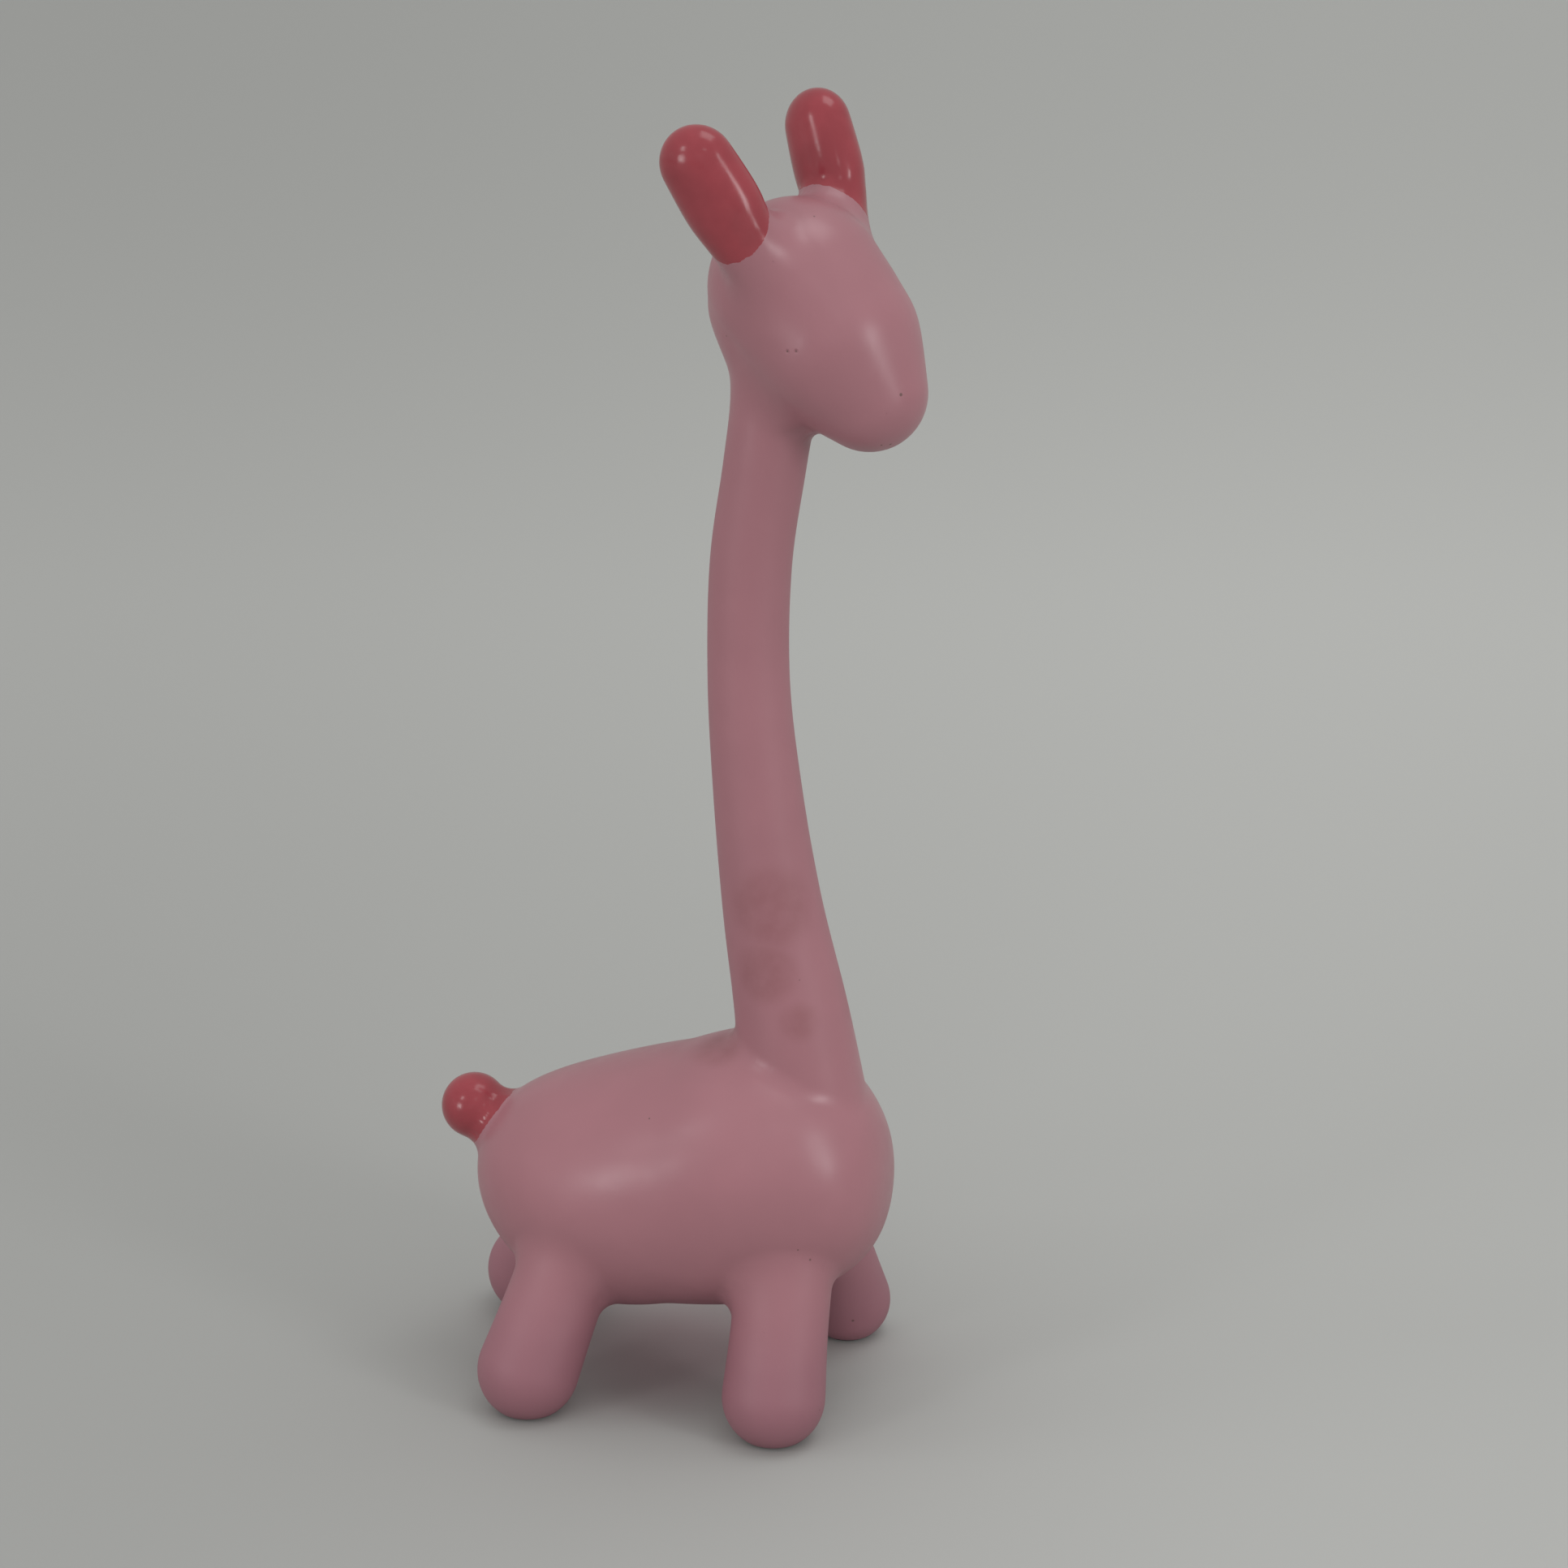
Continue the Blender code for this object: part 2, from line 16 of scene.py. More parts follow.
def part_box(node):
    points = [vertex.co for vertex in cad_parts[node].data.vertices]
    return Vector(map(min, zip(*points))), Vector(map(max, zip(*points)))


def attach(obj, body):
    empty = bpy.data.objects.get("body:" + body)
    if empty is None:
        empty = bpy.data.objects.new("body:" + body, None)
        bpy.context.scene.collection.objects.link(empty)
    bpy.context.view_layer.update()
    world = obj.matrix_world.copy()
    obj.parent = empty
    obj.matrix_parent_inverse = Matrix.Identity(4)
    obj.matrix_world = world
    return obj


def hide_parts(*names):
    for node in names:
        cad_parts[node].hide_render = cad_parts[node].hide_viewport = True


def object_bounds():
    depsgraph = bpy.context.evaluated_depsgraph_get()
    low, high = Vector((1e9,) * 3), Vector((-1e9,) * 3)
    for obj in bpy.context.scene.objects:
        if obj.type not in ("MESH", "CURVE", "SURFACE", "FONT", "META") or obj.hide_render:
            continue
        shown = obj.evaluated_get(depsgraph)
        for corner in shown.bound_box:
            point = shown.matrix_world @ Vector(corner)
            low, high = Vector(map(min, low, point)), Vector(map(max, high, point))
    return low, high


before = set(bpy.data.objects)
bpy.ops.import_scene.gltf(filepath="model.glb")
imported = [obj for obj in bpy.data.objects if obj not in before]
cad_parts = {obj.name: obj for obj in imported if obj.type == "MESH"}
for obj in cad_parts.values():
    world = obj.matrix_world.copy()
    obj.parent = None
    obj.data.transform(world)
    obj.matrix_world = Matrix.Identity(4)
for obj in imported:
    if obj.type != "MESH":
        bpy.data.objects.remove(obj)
CAD_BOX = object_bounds()

# Sizes of the forms, as in the castings
BELLY_HEIGHT = 0.0205
TORSO_LENGTH = 0.0996
TORSO_WIDTH = 0.0610
TORSO_HEIGHT = 0.0624
TORSO_TILT = math.radians(2.5)
WITHERS_RISE = 0.0031
WITHERS_SWELL_SHARE = 0.09
RUMP_ROUNDNESS = 2.15
CHEST_ROUNDNESS = 2.6
TORSO_WALL = 0.0085
POUR_HOLE_RADIUS = 0.0055

NECK_FROM_CHEST = 0.0224
NECK_SINK = 0.0168
NECK_LENGTH = 0.1853
NECK_ROOT_RADIUS = 0.0140
NECK_SLIM_RADIUS = 0.0091
NECK_LEAN = 0.0110
NECK_JOIN_LENGTH = 0.0290
HEAD_JOIN_DROP = 0.0308

SKULL_RADIUS = 0.0192
SKULL_FORWARD = 0.0043
SKULL_RISE = 0.0078
MUZZLE_RADIUS = 0.0112
MUZZLE_REACH = 0.0325
MUZZLE_DIP = math.radians(51.0)
HEAD_TURN = math.radians(-20.0)
HEAD_TILT = math.radians(6.0)

EAR_HALF_WIDTH = 0.0083
EAR_HALF_THICKNESS = 0.0068
EAR_REACH = 0.0204
EAR_SPREAD = 0.0168
EAR_SETBACK = 0.0003
EAR_RISE = 0.0129
EAR_LEAN_BACK = math.radians(24.0)
EAR_SPLAY = math.radians(15.0)
EAR_TWIST = math.radians(14.0)
EAR_JOIN_RISE = 0.0014

TAIL_RADIUS = 0.0080
TAIL_WAIST_RADIUS = 0.0056
TAIL_REACH = 0.0059
TAIL_RISE = math.radians(33.0)
TAIL_ABOVE_MIDDLE = 0.0083
TAIL_JOIN_LENGTH = 0.0008

FOOT_RADIUS = 0.0119
LEG_ROOT_RADIUS = 0.0112
FOOT_HEIGHT = 0.0105
LEG_ROOT_RISE = 0.0175
LEG_ROOT_SPREAD = 0.0150
LEG_JOIN_SHARE = 0.48
FRONT_LEG_FROM_CHEST = 0.0205
REAR_LEG_FROM_RUMP = 0.0284
FRONT_RIGHT_STEP = 0.0003
FRONT_LEFT_STEP = 0.0031
REAR_RIGHT_STEP = 0.0075
REAR_LEFT_STEP = 0.0243
FRONT_STANCE = 0.0275
FRONT_STANCE_SHIFT = 0.0022
REAR_STANCE = 0.0253
REAR_STANCE_SHIFT = 0.0028
SOLE_HEIGHT = 0.0008

# Clearances round the pads and the plug
FIT = 0.0003
OVERRUN = 0.004

# Surface
VOXEL = 0.0005
FILLET_RADIUS = 0.0024
SOFTEN_PASSES = 26

# The coral's brushed edge: how far it wanders, how far its bristle marks reach, how soft it is
PAINT_WOBBLE = 0.00045
PAINT_BRISTLE = 0.00016
PAINT_EDGE = 0.00005

# Where the coral starts, outward of each join
EAR_RIGHT_PAINT_START = 0.0015
EAR_LEFT_PAINT_START = -0.0015
TAIL_PAINT_START = -0.0024

# Camera
VIEW_AZIMUTH = math.radians(16.0)
VIEW_PITCH = math.radians(17.0)
VIEW_DISTANCE = 0.711
VIEW_FOCAL = 72.67
SENSOR = 36.0
AIM_FROM_FORM = Vector((0.0242, 0.0020, 0.1480))

FORWARD = Vector((1, 0, 0))
LEFT = Vector((0, 1, 0))
UP = Vector((0, 0, 1))

PINK = (0.365, 0.160, 0.187, 1)
CORAL = (0.300, 0.046, 0.059, 1)
# Painted shade: the darker pink that the legs fade to towards the feet, between these two heights
LEG_SHADED_PINK = (0.298, 0.128, 0.157, 1)
LEG_SHADE_LOW = 0.014
LEG_SHADE_HIGH = 0.040
SMUDGE_PINK = (0.268, 0.101, 0.113, 1)
SMUDGE_SHARE = 0.55
DUST = (0.10, 0.06, 0.05, 1)
DUST_SHARE = 0.75

# Roughness of each paint, and how much rougher the handled places are
SATIN_ROUGHNESS = (0.31, 0.37)
GLOSS_ROUGHNESS = (0.17, 0.23)
LEGS_ROUGHER = 0.22
NECK_ROUGHER = 0.20
DIRT_ROUGHER = 0.3
LEGS_ROUGH_FADE = (0.030, 0.054)
NECK_ROUGH_START = (0.082, 0.100)
NECK_ROUGH_END = (0.215, 0.240)

# How wide the paint's marks are
BRUSH_WANDER_SIZE = 0.0028
BRISTLE_SIZE = 0.0006
PINK_CLOUD_SIZE = 0.030
CORAL_CLOUD_SIZE = 0.008
SMUDGE_PATCH_SIZE = 0.0040
SATIN_PATCH_SIZE = 0.006
GLOSS_PATCH_SIZE = 0.004
WAVE_SIZE = 0.012
PEEL_SIZE = 0.0014

# Dust and pinholes: spacing of their cells, radius, and the share of cells that stays empty
SCATTERED_DUST = (0.0085, 0.00022, 0.80)
PINHOLES = (0.0060, 0.00016, 0.72)

# How high the paint's marks stand, or how deep
WAVE_HEIGHT = 0.00022
PEEL_HEIGHT = 0.000012
PINHOLE_DEPTH = 0.00006
DENT_DEPTH = 0.00020
DENT_RADIUS = 0.00060
COAT_HEIGHT = 0.00003

# Grain of the rubber, and drawing marks of the steel
GRAIN_SIZE = 0.0005
GRAIN_HEIGHT = 0.00004
DRAWN_SIZE = 0.0003
DRAWN_HEIGHT = 0.00001

FLOOR_GREY = (0.396, 0.397, 0.386, 1)


# Round bodies

def blend_through(points, steps):
    """Points and radii on one smooth curve through the given ones."""
    padded = [points[0]] + list(points) + [points[-1]]
    path = []
    for index in range(1, len(padded) - 2):
        before, start, end, after = padded[index - 1:index + 3]
        for step in range(steps):
            t = step / steps
            path.append(tuple(
                0.5 * (2 * b + (c - a) * t + (2 * a - 5 * b + 4 * c - d) * t ** 2
                       + (3 * b - a - 3 * c + d) * t ** 3)
                for a, b, c, d in zip(before, start, end, after)))
    path.append(tuple(points[-1]))
    return path


def path_tangent(path, index):
    ahead = path[min(index + 1, len(path) - 1)]
    behind = path[max(index - 1, 0)]
    return (Vector(ahead[:3]) - Vector(behind[:3])).normalized()


def add_rings(body, rings, segments=96):
    """One closed skin through rings given as centre, side axis and up axis with their radii."""
    loops = []
    for centre, side, up in rings:
        loop = []
        for step in range(segments):
            angle = math.tau * step / segments
            loop.append(body.verts.new(centre + side * math.cos(angle) + up * math.sin(angle)))
        loops.append(loop)
    for lower, upper in zip(loops, loops[1:]):
        for step in range(segments):
            after = (step + 1) % segments
            body.faces.new((lower[step], lower[after], upper[after], upper[step]))
    body.faces.new(list(reversed(loops[0])))
    body.faces.new(loops[-1])


def add_thumb(body, path, side_share=1.0, across=LEFT, cap_rings=24):
    """A swept body with round ends, flatter across. Each path point is x, y, z and radius."""
    rings = []
    for index, point in enumerate(path):
        tangent = path_tangent(path, index)
        side = across - tangent * across.dot(tangent)
        side.normalize()
        rings.append((Vector(point[:3]), side, tangent.cross(side), tangent, point[3]))

    def cap(ring, inner, outward):
        """A ball end that carries on the taper of the last two rings."""
        centre, side, up, tangent, radius = ring
        taper = math.atan2(inner[4] - radius, (centre - inner[0]).length)
        ball = radius / math.cos(taper)
        middle = centre - tangent * outward * ball * math.sin(taper)
        turned = []
        for step in range(1, cap_rings):
            angle = taper + (math.pi / 2 - taper) * step / cap_rings
            narrowed = ball * math.cos(angle)
            turned.append((middle + tangent * outward * ball * math.sin(angle),
                           side * narrowed * side_share, up * narrowed))
        return turned

    whole = list(reversed(cap(rings[0], rings[1], -1)))
    whole += [(centre, side * radius * side_share, up * radius)
              for centre, side, up, _, radius in rings]
    whole += cap(rings[-1], rings[-2], 1)
    add_rings(body, whole)


def add_egg(body, centre, ring_count=90):
    """The torso's egg along X, tilted, whose two halves have their own roundness."""
    rings = []
    for step in range(1, ring_count):
        along = -math.cos(math.pi * step / ring_count)
        roundness = CHEST_ROUNDNESS if along > 0 else RUMP_ROUNDNESS
        swell = (1 - abs(along) ** roundness) ** (1 / roundness)
        tilt = (FORWARD + UP * math.tan(TORSO_TILT)) * along * TORSO_LENGTH / 2
        arch = UP * WITHERS_RISE * math.sin(math.pi * along)
        deepen = 1 + WITHERS_SWELL_SHARE * max(0, math.sin(math.pi * along))
        rings.append((centre + tilt + arch,
                      LEFT * swell * TORSO_WIDTH / 2, UP * swell * deepen * TORSO_HEIGHT / 2))
    add_rings(body, rings)


def finish_mesh(name, body):
    bmesh.ops.recalc_face_normals(body, faces=body.faces)
    mesh = bpy.data.meshes.new(name)
    body.to_mesh(mesh)
    body.free()
    return mesh


def add_object(name, mesh):
    thing = bpy.data.objects.new(name, mesh)
    bpy.context.scene.collection.objects.link(thing)
    return thing


# Places worked out from the sizes, with the torso's middle over the origin

TORSO_CENTRE = Vector((0, 0, BELLY_HEIGHT + TORSO_HEIGHT / 2))
NECK_START = Vector((TORSO_LENGTH / 2 - NECK_FROM_CHEST, 0,
                     BELLY_HEIGHT + TORSO_HEIGHT - NECK_SINK))

# Share of the neck's length, of its lean, and of the step from slim to root radius
NECK_SHARES = (
    (0.000, 0.25, 1.30),
    (0.143, -0.05, 0.84),
    (0.286, -0.48, 0.47),
    (0.429, -0.79, 0.20),
    (0.571, -0.98, 0.02),
    (0.714, -0.93, 0.00),
    (0.829, -0.65, 0.00),
    (0.905, -0.45, 0.09),
    (0.952, -0.32, 0.52),
    (1.000, -0.32, 1.12),
)


def neck_path():
    spare = NECK_ROOT_RADIUS - NECK_SLIM_RADIUS
    points = [(NECK_START.x + NECK_LEAN * lean_share, 0, NECK_START.z + NECK_LENGTH * share,
               NECK_SLIM_RADIUS + spare * radius_share)
              for share, lean_share, radius_share in NECK_SHARES]
    return blend_through(points, 8)


def place_on_neck(length):
    """Centre and direction of the neck at a length above its start."""
    path = neck_path()
    height = NECK_START.z + length
    index = next(i for i, point in enumerate(path) if point[2] >= height)
    below, above = Vector(path[index - 1][:3]), Vector(path[index][:3])
    share = (height - below.z) / (above.z - below.z)
    return below.lerp(above, share), path_tangent(path, index)


SKULL_CENTRE = Vector(neck_path()[-1][:3]) + Vector((SKULL_FORWARD, 0, SKULL_RISE))
HEAD_FRAME = (Matrix.Translation(SKULL_CENTRE) @ Matrix.Rotation(HEAD_TURN, 4, "Z")
              @ Matrix.Rotation(HEAD_TILT, 4, "X"))


def head_path():
    """Share of the reach, and share of the step from muzzle to skull radius."""
    taper_shares = ((0.0, 1.0), (0.3, 0.94), (0.6, 0.78), (1.0, 0.0))
    along = Vector((math.cos(MUZZLE_DIP), 0, -math.sin(MUZZLE_DIP)))
    points = []
    for share, taper_share in taper_shares:
        centre = HEAD_FRAME @ (along * MUZZLE_REACH * share)
        radius = MUZZLE_RADIUS + (SKULL_RADIUS - MUZZLE_RADIUS) * taper_share
        points.append((*centre, radius))
    return blend_through(points, 8)


def ear_axis(side):
    """Root and direction of an ear; side is +1 for the left one."""
    root = HEAD_FRAME @ Vector((-EAR_SETBACK, side * EAR_SPREAD, EAR_RISE))
    lean = Vector((-math.tan(EAR_LEAN_BACK), side * math.tan(EAR_SPLAY), 1)).normalized()
    return root, (HEAD_FRAME.to_3x3() @ lean).normalized()


def ear_across(side):
    """The direction through an ear's thickness, turned so that its face looks forward and out."""
    turned = HEAD_FRAME.to_3x3() @ Matrix.Rotation(-side * EAR_TWIST, 3, "Z")
    return (turned @ LEFT).normalized()


def ear_path(side):
    root, direction = ear_axis(side)
    # The skin's ears slim a little more at the inner end than the castings do
    swell_shares = ((-0.4, 0.78), (0.1, 0.92), (0.5, 1.03), (1.0, 0.98))
    points = [(*(root + direction * EAR_REACH * share), EAR_HALF_WIDTH * swell_share)
              for share, swell_share in swell_shares]
    return blend_through(points, 8)


def ear_seat(side):
    """Middle and outward direction of the plane where an ear meets the skull."""
    root, _ = ear_axis(side)
    outward = (root - SKULL_CENTRE).normalized()
    return root + outward * EAR_JOIN_RISE, outward


def tail_axis():
    """Root of the tail on the rump, and its direction."""
    rise_share = abs(TAIL_ABOVE_MIDDLE) / (TORSO_HEIGHT / 2)
    back_share = (1 - rise_share ** RUMP_ROUNDNESS) ** (1 / RUMP_ROUNDNESS)
    root = TORSO_CENTRE - FORWARD * back_share * TORSO_LENGTH / 2 + UP * TAIL_ABOVE_MIDDLE
    return root, Vector((-math.cos(TAIL_RISE), 0, math.sin(TAIL_RISE)))


def tail_path():
    """A ball on a cone. Share of the reach, share from waist to ball radius, and sag."""
    root, direction = tail_axis()
    shares = ((-1.5, -0.12, 0.0017), (-0.6, -0.12, 0.0017),
              (-0.1, 0.28, 0.0011), (0.27, 0.69, 0.0006))
    points = [(*(root + direction * TAIL_REACH * share - UP * sag),
               TAIL_WAIST_RADIUS + (TAIL_RADIUS - TAIL_WAIST_RADIUS) * radius_share)
              for share, radius_share, sag in shares]
    return blend_through(points, 6)


def tail_seat():
    root, direction = tail_axis()
    return root + direction * TAIL_JOIN_LENGTH, direction


FRONT_LEGS = TORSO_LENGTH / 2 - FRONT_LEG_FROM_CHEST
REAR_LEGS = REAR_LEG_FROM_RUMP - TORSO_LENGTH / 2

# Root forward, foot's step forward of it, foot sideways
LEGS = {
    "front_right": (FRONT_LEGS, FRONT_RIGHT_STEP, FRONT_STANCE_SHIFT - FRONT_STANCE),
    "front_left": (FRONT_LEGS, FRONT_LEFT_STEP, FRONT_STANCE_SHIFT + FRONT_STANCE),
    "rear_right": (REAR_LEGS, -REAR_RIGHT_STEP, -REAR_STANCE - REAR_STANCE_SHIFT),
    "rear_left": (REAR_LEGS, -REAR_LEFT_STEP, REAR_STANCE - REAR_STANCE_SHIFT),
}
LEG_GIRTH_SHARES = {"front_right": 1.0, "front_left": 0.88, "rear_right": 1.0, "rear_left": 1.0}


def leg_axis(leg):
    forward, step, foot_left = LEGS[leg]
    root = Vector((forward, math.copysign(LEG_ROOT_SPREAD, foot_left),
                   BELLY_HEIGHT + LEG_ROOT_RISE))
    foot = Vector((forward + step, foot_left, FOOT_HEIGHT * LEG_GIRTH_SHARES[leg]))
    return root, foot


def leg_path(leg):
    root, foot = leg_axis(leg)
    root_radius = LEG_ROOT_RADIUS * LEG_GIRTH_SHARES[leg]
    points = [(*root, root_radius), (*root.lerp(foot, 0.5), root_radius),
              (*foot, FOOT_RADIUS * LEG_GIRTH_SHARES[leg])]
    return blend_through(points, 8)


def leg_seat(leg):
    root, foot = leg_axis(leg)
    return root.lerp(foot, LEG_JOIN_SHARE), (foot - root).normalized()


# The frame stands centred on its own box, so the forms are moved to where its front right pad is
PAD_LOW, PAD_HIGH = (Vector(corner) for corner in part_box("foot_pad_front_right"))
PAD_CENTRE = (PAD_LOW + PAD_HIGH) / 2
FORM_TO_FRAME = Vector((PAD_CENTRE.x, PAD_CENTRE.y, 0)) - Vector(
    (FRONT_LEGS + FRONT_RIGHT_STEP, FRONT_STANCE_SHIFT - FRONT_STANCE, 0))


# The skin

def make_forms():
    body = bmesh.new()
    add_egg(body, TORSO_CENTRE)
    add_thumb(body, neck_path())
    add_thumb(body, head_path())
    for side in (-1, 1):
        add_thumb(body, ear_path(side), EAR_HALF_THICKNESS / EAR_HALF_WIDTH, ear_across(side))
    add_thumb(body, tail_path())
    for leg in LEGS:
        add_thumb(body, leg_path(leg))
    return add_object("figure_forms", finish_mesh("figure_forms", body))


def make_underside_cutter():
    """Flat soles with their pad recesses, and the pour hole under the belly."""
    body = bmesh.new()
    pad_radius = (PAD_HIGH.x - PAD_LOW.x) / 2 + FIT
    for leg in LEGS:
        _, foot = leg_axis(leg)
        steps = ((-OVERRUN, FOOT_RADIUS), (SOLE_HEIGHT, FOOT_RADIUS), (SOLE_HEIGHT, pad_radius),
                 (PAD_HIGH.z + FIT, pad_radius))
        add_rings(body, [(Vector((foot.x, foot.y, height)), FORWARD * radius, LEFT * radius)
                         for height, radius in steps])
    bottom = TORSO_CENTRE - UP * TORSO_HEIGHT / 2
    add_rings(body, [(bottom + UP * height, FORWARD * POUR_HOLE_RADIUS, LEFT * POUR_HOLE_RADIUS)
                     for height in (-OVERRUN, TORSO_WALL)])
    return add_object("underside_cutter", finish_mesh("underside_cutter", body))


# Shallow folds at each temple and the nape, in the head's own place for its left side, that the real
# skin blends away: middle, reach and passes
HEAD_SOFT_SPOTS = (
    ((0.0070, 0.0182, 0.0140), 0.010, 160),
    ((0.0090, 0.0180, 0.0070), 0.012, 260),
    ((0.0045, 0.0200, 0.0000), 0.012, 200),
    ((0.0035, 0.0112, 0.0178), 0.007, 60),
    ((0.0000, 0.0120, -0.0180), 0.012, 200),
)
LEG_SOFT_STEP_SHARE = 0.3
LEG_SOFT_DROP = 0.004
LEG_SOFT_REACH = 0.015
LEG_SOFT_PASSES = 200


def list_soft_spots():
    spots = []
    for leg in LEGS:
        root, foot = leg_axis(leg)
        aside = math.copysign(TORSO_WIDTH / 2, foot.y)
        ahead = root.x + (foot.x - root.x) * LEG_SOFT_STEP_SHARE
        middle = Vector((ahead, aside, root.z - LEG_SOFT_DROP))
        spots.append((middle, LEG_SOFT_REACH, LEG_SOFT_PASSES))
    for side in (-1, 1):
        for (x, y, z), reach, passes in HEAD_SOFT_SPOTS:
            spots.append((HEAD_FRAME @ Vector((x, side * y, z)), reach, passes))
    return spots


def soften_spots(mesh):
    """Smooths the skin round each soft spot, fading out towards its reach."""
    points = np.empty(len(mesh.vertices) * 3)
    mesh.vertices.foreach_get("co", points)
    points = points.reshape(-1, 3)
    edges = np.empty(len(mesh.edges) * 2, int)
    mesh.edges.foreach_get("vertices", edges)
    edges = edges.reshape(-1, 2)
    for middle, reach, passes in list_soft_spots():
        away = np.linalg.norm(points - np.array(middle), axis=1) / reach
        share = np.clip(2 - 2 * away, 0, 1)
        share = share * share * (3 - 2 * share)
        near = edges[(share[edges] > 0).any(axis=1)]
        one, other = np.concatenate([near, near[:, ::-1]]).T
        touched, place = np.unique(one, return_inverse=True)
        count = np.bincount(place)
        pull = (0.5 * share[touched])[:, None]
        for _ in range(passes):
            total = np.stack([np.bincount(place, points[other, axis]) for axis in range(3)], axis=1)
            points[touched] += pull * (total / count[:, None] - points[touched])
    mesh.vertices.foreach_set("co", points.ravel())
    mesh.update()


def make_skin():
    """The whole outside as one blended skin, with filleted roots, in the frame's place."""
    forms = make_forms()
    for strength in (FILLET_RADIUS, -FILLET_RADIUS):
        merge = forms.modifiers.new("merge", "REMESH")
        merge.mode = "VOXEL"
        merge.voxel_size = VOXEL
        fillet = forms.modifiers.new("fillet", "DISPLACE")
        fillet.mid_level = 0
        fillet.strength = strength
    soften = forms.modifiers.new("soften", "SMOOTH")
    soften.factor = 0.5
    soften.iterations = SOFTEN_PASSES
    graph = bpy.context.evaluated_depsgraph_get()
    blended = bpy.data.meshes.new_from_object(forms.evaluated_get(graph))
    soften_spots(blended)
    forms.modifiers.clear()
    forms.data = blended

    cutter = make_underside_cutter()
    for thing in (forms, cutter):
        thing.data.materials.append(bpy.data.materials.new(thing.name))
    cut = forms.modifiers.new("underside", "BOOLEAN")
    cut.object = cutter
    cut.solver = "EXACT"
    cut.material_mode = "TRANSFER"

    graph = bpy.context.evaluated_depsgraph_get()
    skin = bpy.data.meshes.new_from_object(forms.evaluated_get(graph))
    for helper in (forms, cutter):
        bpy.data.objects.remove(helper, do_unlink=True)
    return skin


# Parting the skin where the castings meet: seat, direction, and how far round the seat it cuts

def list_joins():
    base, base_direction = place_on_neck(NECK_JOIN_LENGTH)
    top, top_direction = place_on_neck(NECK_LENGTH - HEAD_JOIN_DROP)
    joins = {
        "neck": (base, base_direction, NECK_LENGTH),
        "head": (top, top_direction, NECK_LENGTH),
        "ear_right": (*ear_seat(-1), EAR_REACH * 2),
        "ear_left": (*ear_seat(1), EAR_REACH * 2),
        "tail": (*tail_seat(), TAIL_RADIUS * 3),
    }
    for leg in LEGS:
        seat, direction = leg_seat(leg)
        _, foot = leg_axis(leg)
        joins[f"leg_{leg}"] = (seat, direction, (foot - seat).length + FOOT_RADIUS * 1.2)
    return joins


# No join's rim lies farther from its seat than this
CUT_REACH = NECK_ROOT_RADIUS * 2.5


def cut_at_joins(body, joins):
    """Runs an edge round the skin at every join, without parting it yet."""
    for seat, direction, reach in joins.values():
        near = [face for face in body.faces
                if (face.calc_center_median() - seat).length < min(reach, CUT_REACH)]
        edges = {edge for face in near for edge in face.edges}
        verts = {vert for face in near for vert in face.verts}
        bmesh.ops.bisect_plane(body, geom=[*verts, *edges, *near], dist=VOXEL / 50,
                               plane_co=seat, plane_no=direction)


def name_faces(body, joins):
    """Which casting each face is part of. Later joins take faces from earlier ones."""
    names = ["torso_shell"] + list(joins)
    centres = np.array([face.calc_center_median() for face in body.faces])
    owner = np.zeros(len(centres), int)
    for number, (seat, direction, reach) in enumerate(joins.values(), start=1):
        offset = centres - np.array(seat)
        beyond = offset @ np.array(direction) > 0
        owner[beyond & (np.linalg.norm(offset, axis=1) < reach)] = number
    return names, owner


def paint_reach(points, joins):
    """How far, in metres, each point is inside the coral paint; negative on pink."""
    reach = np.full(len(points), -1.0)
    for name, start, room in (("ear_right", EAR_RIGHT_PAINT_START, EAR_REACH),
                              ("ear_left", EAR_LEFT_PAINT_START, EAR_REACH),
                              ("tail", TAIL_PAINT_START, TAIL_RADIUS)):
        seat, direction, _ = joins[name]
        offset = points - np.array(seat)
        along = offset @ np.array(direction)
        aside = np.linalg.norm(offset - along[:, None] * np.array(direction), axis=1)
        reach = np.maximum(reach, np.minimum(along - start, 1.3 * room - aside))
    return reach


def trace_rim(edges):
    """One closed run of vertex numbers through a join's edges."""
    after = {}
    for first, second in edges:
        after.setdefault(first, []).append(second)
        after.setdefault(second, []).append(first)
    start = edges[0][0]
    run, previous, current = [start], None, start
    while True:
        following = [vert for vert in after[current] if vert != previous]
        previous, current = current, following[0]
        if current == start:
            return run
        run.append(current)


def skin_normals(body):
    """Each vertex's normal on the rounded skin alone, so that a flat sole leaves its rim crisp."""
    normals = np.array([vert.normal for vert in body.verts])
    for vert in body.verts:
        rounded = [face for face in vert.link_faces if face.material_index == 0]
        if rounded and len(rounded) < len(vert.link_faces):
            total = sum((face.normal * face.calc_area() for face in rounded), Vector())
            normals[vert.index] = total.normalized()
    return normals


